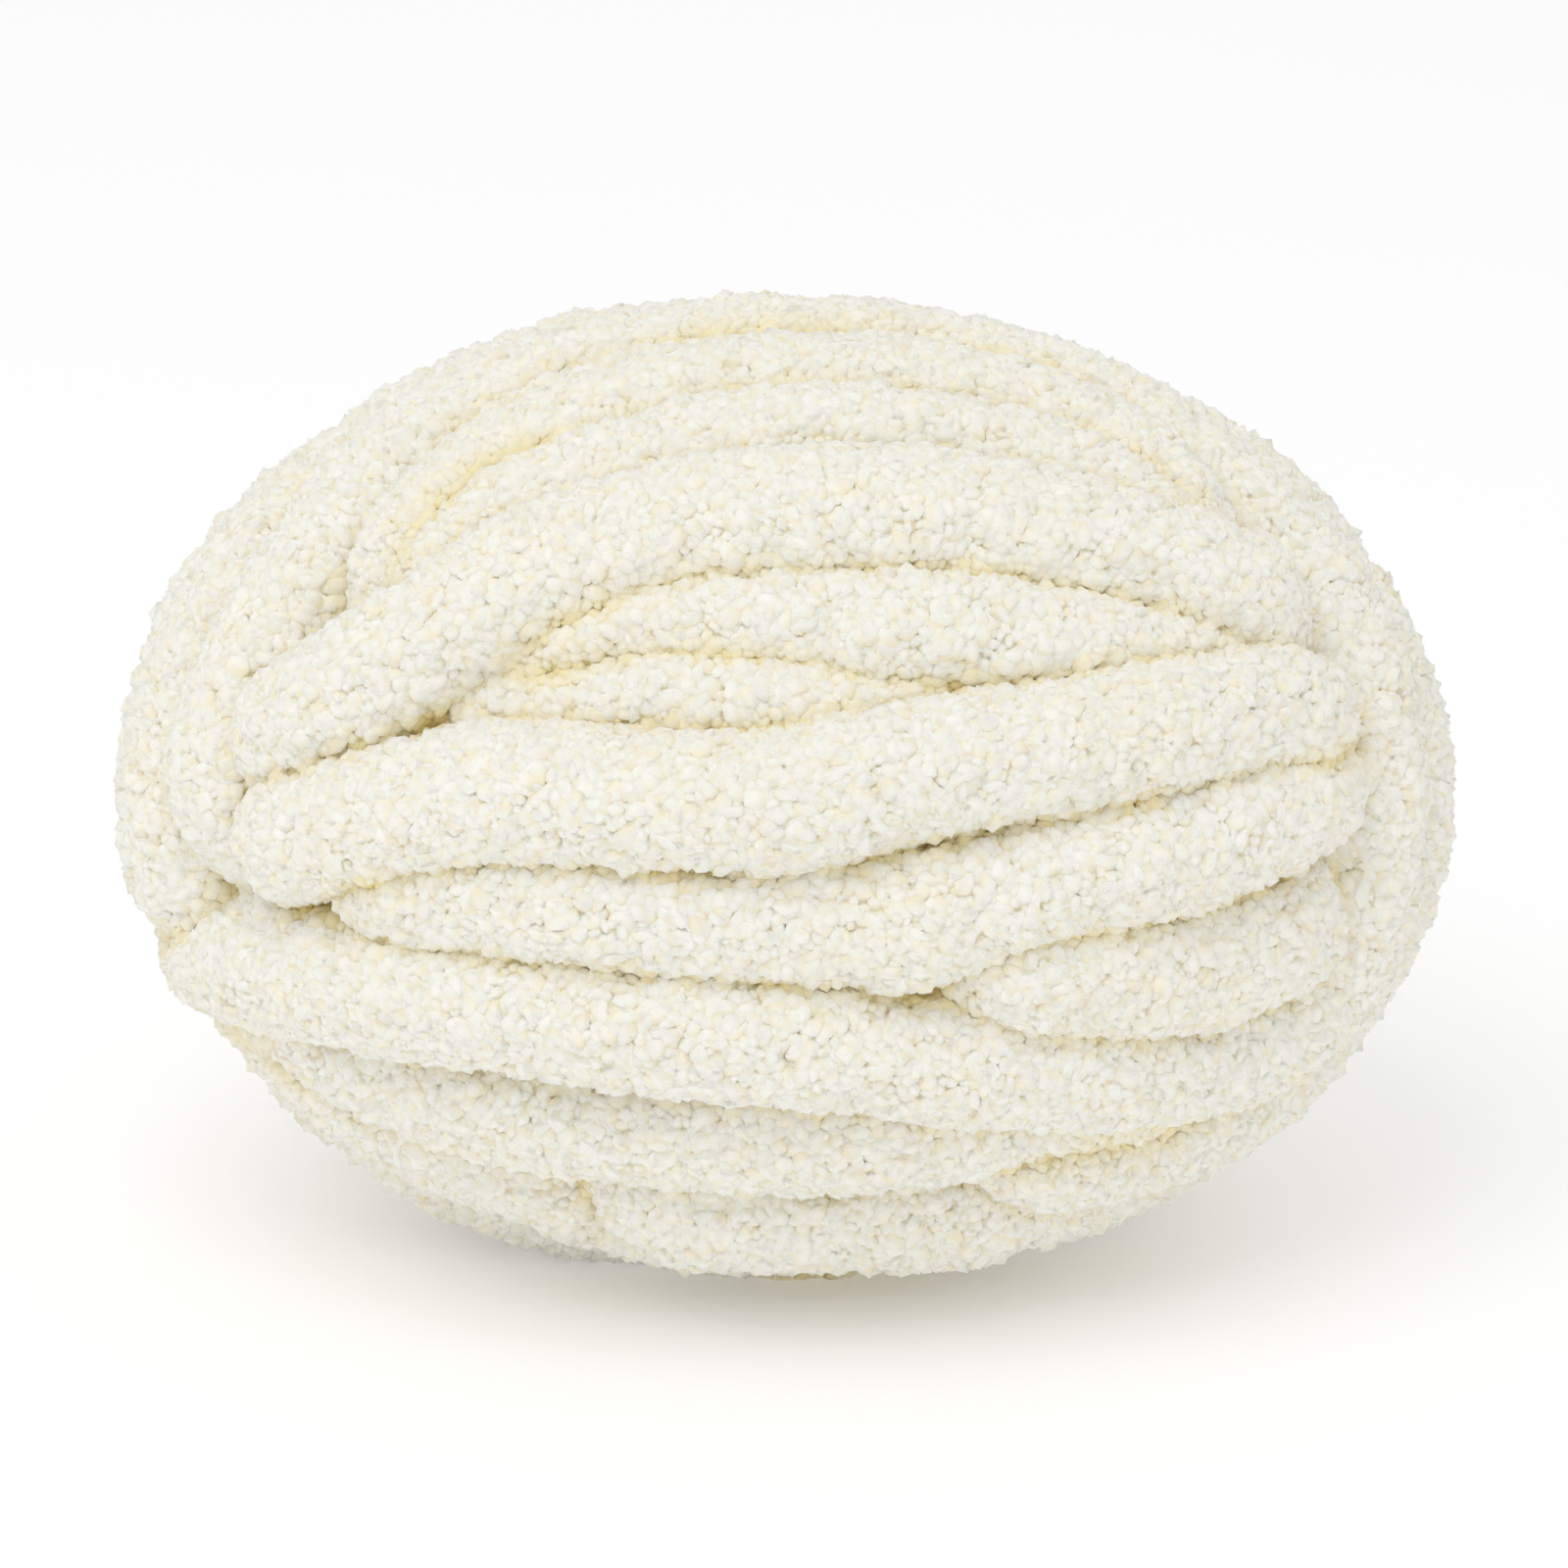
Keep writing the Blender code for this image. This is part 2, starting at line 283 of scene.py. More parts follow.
class PileSizes(bpy.types.PropertyGroup):
    """Sizes of the tufts in the chenille pile."""

    height: FloatProperty(
        name="Pile height", description="Height of the pile over the yarn's core",
        default=0.0008, min=0, max=0.005, subtype="DISTANCE", unit="LENGTH",
    )
    spacing: FloatProperty(
        name="Tuft spacing", description="Least distance between the roots of two tufts",
        default=0.0014, min=0.0008, max=0.006, subtype="DISTANCE", unit="LENGTH",
    )
    tuft_width: FloatProperty(
        name="Tuft width", description="Middle width of a tuft",
        default=0.0032, min=0.0005, max=0.008, subtype="DISTANCE", unit="LENGTH",
    )
    width_spread: FloatProperty(
        name="Width spread", description="Share by which a tuft may be wider or narrower",
        default=0.35, min=0, max=0.8, subtype="FACTOR",
    )
    lean: FloatProperty(
        name="Lean", description="Most that a tuft leans to one side",
        default=math.radians(50), min=0, max=math.radians(80), subtype="ANGLE", unit="ROTATION",
    )
    softness: FloatProperty(
        name="Softness", description="How far the tufts take their shading from the yarn under them",
        default=0.35, min=0, max=1, subtype="FACTOR",
    )
    shapes: IntProperty(
        name="Tuft shapes", description="Number of different tuft shapes", default=6, min=1, max=20,
    )
    pieces: IntProperty(
        name="Pieces", description="Number of pieces that the pile is split into along the ball",
        default=5, min=1, max=12,
    )
    seed: IntProperty(name="Seed", description="Seed of the tufts' places and turns", default=11)


class YarnColours(bpy.types.PropertyGroup):
    """Colours of the chenille, and of the shade painted at its roots and in its creases."""

    tip: FloatVectorProperty(
        name="Tips", description="Colour at the ends of the tufts", subtype="COLOR", size=4,
        default=(0.965, 0.955, 0.895, 1), min=0, max=1,
    )
    # Painted shade and light: gold between the tufts for light bounced through the fibres.
    root: FloatVectorProperty(
        name="Roots", description="Colour between the tufts, where light goes through the fibres",
        subtype="COLOR", size=4, default=(0.96, 0.893, 0.69, 1), min=0, max=1,
    )
    # Painted shade: the gold deep between two turns stands in for light bounced in the crease.
    crease: FloatVectorProperty(
        name="Creases", description="Colour deep between two turns", subtype="COLOR", size=4,
        default=(0.96, 0.81, 0.38, 1), min=0, max=1,
    )
    patch: FloatVectorProperty(
        name="Warm patches", description="Colour of the slightly warmer stretches of yarn",
        subtype="COLOR", size=4, default=(0.965, 0.935, 0.82, 1), min=0, max=1,
    )


class StageSettings(bpy.types.PropertyGroup):
    """The floor, the light and the camera."""

    floor_size: FloatProperty(
        name="Floor size", description="Width of the floor", default=8, min=1, max=20,
        subtype="DISTANCE", unit="LENGTH",
    )
    camera_distance: FloatProperty(
        name="Camera distance", description="Distance from the camera to the ball's middle",
        default=1.31, min=0.3, max=5, subtype="DISTANCE", unit="LENGTH",
    )
    camera_elevation: FloatProperty(
        name="Camera elevation", description="Angle at which the camera looks down",
        default=math.radians(20), min=0, max=math.radians(89), subtype="ANGLE", unit="ROTATION",
    )
    camera_aim: FloatProperty(
        name="Camera aim", description="Height over the floor that the camera looks at",
        default=0.0788, min=0, max=0.5, subtype="DISTANCE", unit="LENGTH",
    )
    lens: FloatProperty(
        name="Lens", description="Focal length", default=180, min=20, max=300,
        subtype="DISTANCE_CAMERA", unit="CAMERA",
    )
    sky: FloatProperty(
        name="Surrounding light", description="Strength of the even light from all round",
        default=0.81, min=0, max=5,
    )
    key: FloatProperty(
        name="Key light", description="Power of the large soft light at the upper left", default=8.5,
        min=0, max=200, subtype="POWER", unit="POWER",
    )


# ---------------------------------------------------------------- small helpers


def link_new(name, data):
    """A new object with this data, in the scene."""
    thing = bpy.data.objects.new(name, data)
    bpy.context.scene.collection.objects.link(thing)
    return thing


def remove(*things):
    """Removes helper objects."""
    for thing in things:
        bpy.data.objects.remove(thing)


def evaluated_mesh(thing):
    """The object's mesh with its modifiers applied."""
    graph = bpy.context.evaluated_depsgraph_get()
    return bpy.data.meshes.new_from_object(thing.evaluated_get(graph))


def settle_mesh(thing):
    """Keeps the result of the object's modifiers as its plain mesh."""
    thing.data = evaluated_mesh(thing)
    thing.modifiers.clear()


def mesh_box(mesh):
    """The lowest and the highest corner of a mesh."""
    corners = [vertex.co for vertex in mesh.vertices]
    low = Vector([min(c[axis] for c in corners) for axis in range(3)])
    high = Vector([max(c[axis] for c in corners) for axis in range(3)])
    return low, high


def add_node(tree, kind, inputs=(), **settings):
    """Adds a node, sets its settings and sets or links its inputs, given by name or number."""
    node = tree.nodes.new(kind)
    for setting, value in settings.items():
        setattr(node, setting, value)
    for key, value in dict(inputs).items():
        if isinstance(value, bpy.types.NodeSocket):
            tree.links.new(value, node.inputs[key])
        else:
            node.inputs[key].default_value = value
    return node


def combined(tree, operation, first, second):
    """The result of one sum with two numbers."""
    return add_node(tree, "ShaderNodeMath", {0: first, 1: second}, operation=operation).outputs[0]


def in_range(tree, value, low, high, out_low=0.0, out_high=1.0):
    """The value moved from one range to another and kept inside it."""
    limits = {1: low, 2: high, 3: out_low, 4: out_high}
    return add_node(tree, "ShaderNodeMapRange", {0: value, **limits}).outputs[0]


def noise(tree, place, scale, **more):
    """A soft noise on these coordinates, round 0.5."""
    return add_node(tree, "ShaderNodeTexNoise", {"Vector": place, "Scale": scale, **more}).outputs[0]


def new_geometry_tree(name, sockets):
    """An empty Geometry Nodes tree with a geometry input, the named inputs and a geometry output."""
    tree = bpy.data.node_groups.new(name, "GeometryNodeTree")
    tree.is_modifier = True
    tree.interface.new_socket("Geometry", in_out="INPUT", socket_type="NodeSocketGeometry")
    for title, kind in sockets:
        tree.interface.new_socket(title, in_out="INPUT", socket_type="NodeSocket" + kind)
    tree.interface.new_socket("Geometry", in_out="OUTPUT", socket_type="NodeSocketGeometry")
    return tree, tree.nodes.new("NodeGroupInput").outputs, tree.nodes.new("NodeGroupOutput").inputs


def add_tree(thing, tree, **values):
    """Puts a Geometry Nodes tree on the object, with its named inputs set."""
    modifier = thing.modifiers.new(tree.name, "NODES")
    modifier.node_group = tree
    for item in tree.interface.items_tree:
        key = item.name.lower().replace(" ", "_")
        if item.in_out == "INPUT" and key in values:
            modifier[item.identifier] = values.pop(key)
    if values:
        raise ValueError(f"{tree.name} has no inputs {sorted(values)}")


# ---------------------------------------------------------------- the wound form


def face_direction(along, roll):
    """The unit direction, in the ball's frame, of a point given along and round the long axis."""
    turned = math.radians(roll) + FACE_TILT
    side = math.cos(math.radians(along))
    return Vector((math.sin(math.radians(along)), -side * math.cos(turned), side * math.sin(turned)))


def rim_direction(bearing, ahead):
    """The unit direction, in the ball's frame, of a point given round the face's rim."""
    toward = math.sin(math.radians(ahead))
    across = math.cos(math.radians(ahead))
    up = across * math.sin(math.radians(bearing))
    return Vector((
        across * math.cos(math.radians(bearing)),
        up * math.sin(FACE_TILT) - toward * math.cos(FACE_TILT),
        up * math.cos(FACE_TILT) + toward * math.sin(FACE_TILT),
    ))


def smooth_route(directions):
    """Directions close together on one smooth route through the given ones."""
    first, last = directions[0] * 2 - directions[1], directions[-1] * 2 - directions[-2]
    knots = [first] + directions + [last]
    route = []
    for before, start, end, after in zip(knots, knots[1:], knots[2:], knots[3:]):
        steps = max(2, round(start.angle(end) / ROUTE_STEP))
        for t in (k / steps for k in range(steps)):
            point = (
                start * 2
                + (end - before) * t
                + (before * 2 - start * 5 + end * 4 - after) * t**2
                + (start * 3 - before - end * 3 + after) * t**3
            )
            route.append(point.normalized())
    return route + [directions[-1]]


def place_on_ball(direction, depth, half_axes):
    """The point this deep under the ball's surface in the given direction."""
    surface = direction * half_axes
    normal = Vector([part / half for part, half in zip(direction, half_axes)]).normalized()
    return surface - normal * depth


def dive(last, before, half_axes, radius):
    """Points that go on from a line's last one and turn down into the ball on an arc."""
    forward = (last - before).normalized()
    inward = -Vector([part / half**2 for part, half in zip(last, half_axes)])
    inward = (inward - forward * inward.dot(forward)).normalized()
    turned = [DIVE_TURN * k / DIVE_STEPS for k in range(1, DIVE_STEPS + 1)]
    arc = [last + (forward * math.sin(a) + inward * (1 - math.cos(a))) * radius for a in turned]
    return arc + [arc[-1] + inward * radius]


def turn_line(turn, direction_of, winding):
    """The turn's centre line, as (point, girth) pairs."""
    half_axes = half_axes_of(winding)
    depth = winding.yarn_diameter / 2 + winding.squeeze - turn.proud / 1000
    route = smooth_route([direction_of(*point) for point in turn.points])
    line = [place_on_ball(direction, depth, half_axes) for direction in route]
    head = dive(line[0], line[1], half_axes, winding.dive_radius)[::-1]
    tail = dive(line[-1], line[-2], half_axes, winding.dive_radius)
    line = head + line + tail
    phase = line[0].angle(line[-1])
    pairs, walked = [], 0.0
    for previous, point in zip([line[0]] + line, line):
        walked += (point - previous).length
        swell = SWELL * math.sin(2 * math.pi * (walked / SWELL_LENGTH + phase))
        pairs.append((point, turn.girth * (1 + swell)))
    return pairs


def half_axes_of(winding):
    """Half the ball's length and thicknesses."""
    across = winding.ball_thickness / 2
    return Vector((winding.ball_length / 2, across, across))


def floor_level(winding):
    """Height of the floor in the ball's own frame, whose origin is its middle."""
    return winding.flat_depth - winding.ball_thickness / 2


def laid_turns(winding):
    """The centre lines of the turns that show, in lists by strand.

    A turn that comes as a left and a right stretch is one strand.
    """
    strands = {}
    for turns, direction_of in ((LONG_TURNS, face_direction), (RIM_TURNS, rim_direction)):
        for turn in turns:
            strand = "_".join(turn.name.split("_")[:2])
            strands.setdefault(strand, []).append(turn_line(turn, direction_of, winding))
    return list(strands.values())


def wound_turns(strands, core_radius):
    """The turns' cores as one curve object with a spline for each."""
    curve = bpy.data.curves.new("turns", "CURVE")
    curve.dimensions = "3D"
    curve.bevel_depth = core_radius
    curve.bevel_resolution = 5
    curve.use_fill_caps = True
    for line in (line for strand in strands for line in strand):
        spline = curve.splines.new("POLY")
        spline.points.add(len(line) - 1)
        for control, (point, girth) in zip(spline.points, line):
            control.co = (*point, 1.0)
            control.radius = girth
    return link_new("turns", curve)


def ellipsoid(name, half_axes, centre):
    """A smooth closed ellipsoid."""
    mesh = bpy.data.meshes.new(name)
    shape = bmesh.new()
    bmesh.ops.create_uvsphere(shape, u_segments=64, v_segments=32, radius=1)
    shape.transform(Matrix.Translation(centre) @ Matrix.Diagonal((*half_axes, 1)))
    shape.to_mesh(mesh)
    shape.free()
    return link_new(name, mesh)


def joined(name, things):
    """One object from the meshes of several, which are removed."""
    whole = bmesh.new()
    for thing in things:
        mesh = evaluated_mesh(thing)
        whole.from_mesh(mesh)
        bpy.data.meshes.remove(mesh)
    remove(*things)
    mesh = bpy.data.meshes.new(name)
    whole.to_mesh(mesh)
    whole.free()
    return link_new(name, mesh)


def even_out(body, rounds):
    """Adds a modifier that takes the sharp edges off the body's surface."""
    smooth = body.modifiers.new("even_out", "SMOOTH")
    smooth.factor = 0.5
    smooth.iterations = rounds


def soft_lumps_tree():
    """Geometry Nodes that push a surface in and out along its normals in soft lumps and curds."""
    titles = ("Height", "Width", "Curd height", "Curd width")
    tree, given, result = new_geometry_tree("soft_lumps", [(title, "Float") for title in titles])
    place = add_node(tree, "GeometryNodeInputPosition").outputs[0]
    normal = add_node(tree, "GeometryNodeInputNormal").outputs[0]
    lumps_per_metre = combined(tree, "DIVIDE", 1.0, given["Width"])
    curds_per_metre = combined(tree, "DIVIDE", 1.0, given["Curd width"])
    lump = noise(tree, place, lumps_per_metre, Detail=2.0, Roughness=0.6)
    lump = combined(tree, "SUBTRACT", lump, LUMP_MIDDLE)
    lump = combined(tree, "MULTIPLY", lump, given["Height"])
    lump = combined(tree, "MULTIPLY", lump, LUMP_GAIN)
    curd = add_node(tree, "ShaderNodeTexVoronoi", {
        "Vector": place, "Scale": curds_per_metre, "Smoothness": 0.3,
    }, feature="SMOOTH_F1").outputs[0]
    curd = combined(tree, "SUBTRACT", CURD_MIDDLE, curd)
    curd = combined(tree, "MULTIPLY", curd, given["Curd height"])
    rise = combined(tree, "ADD", lump, curd)
    push = add_node(tree, "ShaderNodeVectorMath", {0: normal, "Scale": rise}, operation="SCALE")
    moved = add_node(
        tree, "GeometryNodeSetPosition", {"Geometry": given["Geometry"], "Offset": push.outputs[0]}
    )
    tree.links.new(moved.outputs[0], result[0])
    return tree


def bundled(winding, pile, strands, core_radius):
    """The turns, the inner winding and the yarn pressed flat, as one mesh of overlapping bodies."""
    half_axes, level = half_axes_of(winding), floor_level(winding)
    inner = half_axes - Vector((1, 1, 1)) * (winding.inner_depth + pile.height)
    spread = PRESSED_SHARE * math.sqrt(1 - (level / half_axes.z) ** 2)
    pressed = Vector((half_axes.x * spread, half_axes.y * spread, PRESSED_HEIGHT))
    return joined("wound_yarn", [
        wound_turns(strands, core_radius),
        ellipsoid("inner_winding", inner, (0, 0, 0)),
        ellipsoid("pressed_underside", pressed, (0, 0, level)),
    ])


def fuse_turns(body, winding):
    """Adds the modifiers that fuse the turns into one skin with soft lumps."""
    fuse = body.modifiers.new("fuse", "REMESH")
    fuse.mode = "VOXEL"
    fuse.voxel_size = winding.fusing_cell
    even_out(body, FUSED_ROUNDS)
    add_tree(
        body, soft_lumps_tree(), height=winding.lump_height, width=winding.lump_width,
        curd_height=winding.curd_height, curd_width=winding.curd_width,
    )


def press_flat(body, winding):
    """Cuts the body off level where it rests."""
    shape = bmesh.new()
    side = winding.ball_length * 2
    bmesh.ops.create_cube(shape, size=side)
    shape.transform(Matrix.Translation((0, 0, floor_level(winding) - side / 2)))
    mesh = bpy.data.meshes.new("resting_surface")
    shape.to_mesh(mesh)
    shape.free()
    block = link_new("resting_surface", mesh)
    cut = body.modifiers.new("press_flat", "BOOLEAN")
    cut.operation = "DIFFERENCE"
    cut.solver = "EXACT"
    cut.object = block
    settle_mesh(body)
    remove(block)


def stand_in_frame(body):
    """Moves the mesh to the middle of the CAD ball's box, resting on the floor."""
    low, high = mesh_box(body.data)
    cad_low, cad_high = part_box(BALL_NODE)
    shift = (cad_low + cad_high - low - high) / 2
    shift.z = cad_low.z - low.z
    body.data.transform(Matrix.Translation(shift))


def draw_in_seams(body, strands, core_radius, winding):
    """Pulls the skin in along the seams between turns.

    Every vertex then holds how near a seam it is, from 0 on open yarn to 1 in the seam.
    """
    mesh = body.data
    places = np.empty(len(mesh.vertices) * 3)
    mesh.vertices.foreach_get("co", places)
    places = places.reshape(-1, 3)
    nearest = np.full((2, len(places)), np.inf)
    for strand in strands:
        distance = np.full(len(places), np.inf)
        for line in strand:
            ends = np.array([point for point, _ in line])
            radii = np.array([girth for _, girth in line]) * core_radius
            for start, end, thick, next_thick in zip(ends, ends[1:], radii, radii[1:]):
                step = end - start
                share = np.clip((places - start) @ step / (step @ step), 0, 1)
                away = np.linalg.norm(places - start - share[:, None] * step, axis=1)
                distance = np.minimum(distance, away - thick - share * (next_thick - thick))
        nearest = np.sort(np.vstack((nearest, distance)), axis=0)[:2]
    seam = np.exp(-np.maximum(nearest[1] - nearest[0], 0) / winding.seam_width)
    outward = places / np.array(half_axes_of(winding)) ** 2
    outward /= np.linalg.norm(outward, axis=1)[:, None]
    open_side = places[:, 2] > floor_level(winding) + winding.yarn_diameter / 4
    places -= outward * (winding.seam_depth * seam**2 * open_side)[:, None]
    mesh.vertices.foreach_set("co", places.ravel())
    mesh.update()
    mesh.attributes.new("seam", "FLOAT", "POINT").data.foreach_set("value", seam)


def spread_directions(count):
    """Unit vectors over the half sphere round +Z, thicker towards its pole."""
    golden = math.pi * (3 - math.sqrt(5))
    directions = []
    for k in range(count):
        height = math.sqrt(1 - (k + 0.5) / count)
        across = math.sqrt(1 - height * height)
        x, y = across * math.cos(golden * k), across * math.sin(golden * k)
        directions.append(Vector((x, y, height)))
    return directions


def store_creases(body, reach):
    """Stores on every vertex how far the turns close it in, from 0 on open yarn to 1 in a hole."""
    mesh = body.data
    tree = BVHTree.FromPolygons(
        [vertex.co for vertex in mesh.vertices], [polygon.vertices for polygon in mesh.polygons]
    )
    rays = spread_directions(CREASE_RAYS)
    closed = []
    for vertex in mesh.vertices:
        turn = vertex.normal.to_track_quat("Z", "Y")
        start = vertex.co + vertex.normal * RAY_START
        hidden = 0.0
        for ray in rays:
            distance = tree.ray_cast(start, turn @ ray, reach)[3]
            if distance is not None:
                hidden += 1 - distance / reach
        closed.append(hidden / len(rays))
    # The chenille material paints shade in the creases from this value.
    mesh.attributes.new("crease", "FLOAT", "POINT").data.foreach_set("value", closed)


# ---------------------------------------------------------------- the pile


def tuft_shapes(pile):
    """A collection of soft tufts, each about one unit wide, growing up from the origin."""
    chance = random.Random(pile.seed)
    shapes = bpy.data.collections.new("tuft_shapes")
    bpy.context.scene.collection.children.link(shapes)
    for number in range(pile.shapes):
        shape = bmesh.new()
        bmesh.ops.create_icosphere(shape, subdivisions=1, radius=0.5)
        turned, axis = chance.uniform(0, math.pi), Vector((1, chance.random(), 0))
        shape.transform(Matrix.Rotation(turned, 4, axis))
        wide, thick, tall = [chance.uniform(*limits) for limits in (TUFT_WIDE, TUFT_THICK, TUFT_TALL)]
        bend = chance.uniform(-TUFT_BEND, TUFT_BEND)
        for vertex in shape.verts:
            jitter = Vector([chance.uniform(-1, 1) for _ in range(3)]) * TUFT_JITTER
            across, deep, up = vertex.co + jitter
            taper = 1 - TUFT_TAPER * up
            vertex.co = (across * wide * taper + bend * up * up, deep * thick * taper, up * tall)
        mesh = bpy.data.meshes.new(f"tuft_{number}")
        shape.to_mesh(mesh)
        shape.free()
        low, high = mesh_box(mesh)
        tips = [(vertex.co.z - low.z) / (high.z - low.z) for vertex in mesh.vertices]
        mesh.attributes.new("tip", "FLOAT", "POINT").data.foreach_set("value", tips)
        shapes.objects.link(bpy.data.objects.new(mesh.name, mesh))
    return shapes


def position_parts(tree):
    """X, Y and Z of each place."""
    place = add_node(tree, "GeometryNodeInputPosition").outputs[0]
    return add_node(tree, "ShaderNodeSeparateXYZ", {0: place}).outputs


def compared(tree, operation, first, second):
    """Whether two numbers compare as said."""
    return add_node(tree, "FunctionNodeCompare", {0: first, 1: second}, operation=operation).outputs[0]


def either(tree, first, second):
    """Whether one or both are so."""
    return add_node(tree, "FunctionNodeBooleanMath", {0: first, 1: second}, operation="OR").outputs[0]


def drawn(tree, kind, least, most, seed):
    """A random value for each tuft, between two limits."""
    low, high, out = {"FLOAT_VECTOR": (0, 1, 0), "FLOAT": (2, 3, 1), "INT": (4, 5, 2)}[kind]
    number = add_node(tree, "GeometryNodeInputID").outputs[0]
    limits = {low: least, high: most}
    node = add_node(
        tree, "FunctionNodeRandomValue", {**limits, "ID": number, "Seed": seed}, data_type=kind
    )
    return node.outputs[out]


def stored(tree, name, kind):
    """A value that the mesh holds, for a Geometry Nodes tree."""
    return add_node(tree, "GeometryNodeInputNamedAttribute", {"Name": name}, data_type=kind).outputs[0]


def store_on_tufts(tree, tufts, name, kind, value):
    """The tufts, each holding this value."""
    return add_node(
        tree, "GeometryNodeStoreNamedAttribute", {"Geometry": tufts, "Name": name, "Value": value},
        data_type=kind, domain="INSTANCE",
    ).outputs[0]


def spread_roots(tree, given):
    """Roots on the skin, between the two planes and off the floor, with their turns and normals."""
    scatter = add_node(tree, "GeometryNodeDistributePointsOnFaces", {
        "Mesh": given["Geometry"], "Distance Min": given["Spacing"],
        "Density Max": TRIED_ROOTS, "Seed": given["Seed"],
    }, distribute_method="POISSON").outputs
    place = position_parts(tree)
    before = compared(tree, "LESS_THAN", place["X"], given["From"])
    after = compared(tree, "GREATER_EQUAL", place["X"], given["To"])
    pressed = compared(tree, "LESS_THAN", place["Z"], given["Floor"])
    outside = either(tree, either(tree, before, after), pressed)
    kept = add_node(
        tree, "GeometryNodeDeleteGeometry", {"Geometry": scatter["Points"], "Selection": outside},
        domain="POINT",
    )
    return kept.outputs[0], scatter["Rotation"], scatter["Normal"]


def leaning(tree, given, upright):
    """The turn of each tuft: leaning to some side, and spun round its own middle."""
    backwards = combined(tree, "MULTIPLY", given["Lean"], -1.0)
    least = add_node(tree, "ShaderNodeCombineXYZ", {0: backwards, 1: backwards, 2: 0.0})
    most = add_node(tree, "ShaderNodeCombineXYZ", {0: given["Lean"], 1: given["Lean"], 2: math.tau})
    lean = drawn(tree, "FLOAT_VECTOR", least.outputs[0], most.outputs[0], LEAN_DRAW)
    turned = add_node(
        tree, "FunctionNodeRotateRotation", {0: upright, 1: lean}, rotation_space="LOCAL"
    )
    return turned.outputs[0]


def set_tufts(tree, given, roots, upright, skin_normal):
    """A tuft on every root, drawn in its shape, width, lean and tint."""
    width = drawn(tree, "FLOAT", given["Least width"], given["Most width"], WIDTH_DRAW)
    shrink = in_range(tree, stored(tree, "seam", "FLOAT"), 0.0, 1.0, 1.0, SEAM_TUFT)
    shapes = add_node(tree, "GeometryNodeCollectionInfo", {
        "Collection": given["Tufts"], "Separate Children": True, "Reset Children": True,
    }).outputs[0]
    tufts = add_node(tree, "GeometryNodeInstanceOnPoints", {
        "Points": roots, "Instance": shapes, "Pick Instance": True,
        "Instance Index": drawn(tree, "INT", 0, LAST_SHAPE_NUMBER, SHAPE_DRAW),
        "Rotation": leaning(tree, given, upright), "Scale": combined(tree, "MULTIPLY", width, shrink),
    }).outputs[0]
    tufts = store_on_tufts(tree, tufts, "skin_normal", "FLOAT_VECTOR", skin_normal)
    lift = add_node(tree, "ShaderNodeCombineXYZ", {2: given["Lift"]}).outputs[0]
    lifted = add_node(tree, "GeometryNodeTranslateInstances", {
        "Instances": tufts, "Translation": lift, "Local Space": True,
    }).outputs[0]
    shade = drawn(tree, "FLOAT", 0.0, 1.0, TINT_DRAW)
    return store_on_tufts(tree, lifted, "tint", "FLOAT", shade)


def settle_on_floor(tree, tufts):
    """The tufts as one mesh, with nothing under the floor."""
    real = add_node(tree, "GeometryNodeRealizeInstances", {0: tufts}).outputs[0]
    x, y, z = position_parts(tree)
    level = add_node(tree, "ShaderNodeCombineXYZ", {0: x, 1: y, 2: combined(tree, "MAXIMUM", z, 0.0)})
    return add_node(
        tree, "GeometryNodeSetPosition", {"Geometry": real, "Position": level.outputs[0]}
    ).outputs[0]


def shade_softly(tree, given, tufts):
    """The tufts with smooth shading that follows the skin under them by the given softness."""
    smooth = add_node(tree, "GeometryNodeSetShadeSmooth", {0: tufts}).outputs[0]
    own = add_node(tree, "GeometryNodeInputNormal").outputs[0]
    under = stored(tree, "skin_normal", "FLOAT_VECTOR")
    between = add_node(
        tree, "ShaderNodeMix", {0: given["Softness"], 4: own, 5: under}, data_type="VECTOR"
    )
    facing = add_node(tree, "ShaderNodeVectorMath", {0: between.outputs[1]}, operation="NORMALIZE")
    return add_node(
        tree, "GeometryNodeSetMeshNormal", {"Mesh": smooth, "Custom Normal": facing.outputs[0]},
        mode="FREE", domain="POINT",
    ).outputs[0]


def pile_tree():
    """Geometry Nodes that grow tufts on a skin, between two planes across the ball."""
    tree, given, result = new_geometry_tree("pile", (
        ("Tufts", "Collection"), ("Spacing", "Float"), ("Least width", "Float"),
        ("Most width", "Float"), ("Lean", "Float"), ("Lift", "Float"), ("From", "Float"),
        ("To", "Float"), ("Floor", "Float"), ("Seed", "Int"), ("Softness", "Float"),
        ("Material", "Material"),
    ))
    roots, upright, skin_normal = spread_roots(tree, given)
    tufts = set_tufts(tree, given, roots, upright, skin_normal)
    tufts = shade_softly(tree, given, settle_on_floor(tree, tufts))
    finished = add_node(
        tree, "GeometryNodeSetMaterial", {"Geometry": tufts, "Material": given["Material"]}
    )
    tree.links.new(finished.outputs[0], result[0])
    return tree


def slab_edges(mesh, count):
    """Places along X that split the mesh's area into equal slabs."""
    slices = sorted((polygon.center.x, polygon.area) for polygon in mesh.polygons)
    share = sum(area for _, area in slices) / count
    edges, gathered = [-PAST_BALL], 0.0
    for x, area in slices:
        gathered += area
        if gathered > share * len(edges) and len(edges) < count:
            edges.append(x)
    return edges + [PAST_BALL]


# ---------------------------------------------------------------- finishes


# The range over which each stored value turns from nothing to full, and how far painted seam shade
# shows.
TIP_RANGE = (0.45, 0.9)
SEAM_RANGE = (0.1, 0.9)
SEAM_SHADE_SHOWS = 0.95
CREASE_SHADE_RANGE = (0.18, 0.55)

# Clouds along the yarn. Where they are thin, the painted shade in the seams shows least. Where they
# are thick, it is warmer.
CLOUDS_PER_METRE = 38.0
THIN_CLOUD = (0.36, 0.6)
THIN_SEAM_SHADE = 0.45
THICK_CLOUD = (0.42, 0.68)
THICK_WARMTH = 0.4

# The darkest and the palest tuft, against the chenille's own colour.
TINT_RANGE = (0.97, 1.02)

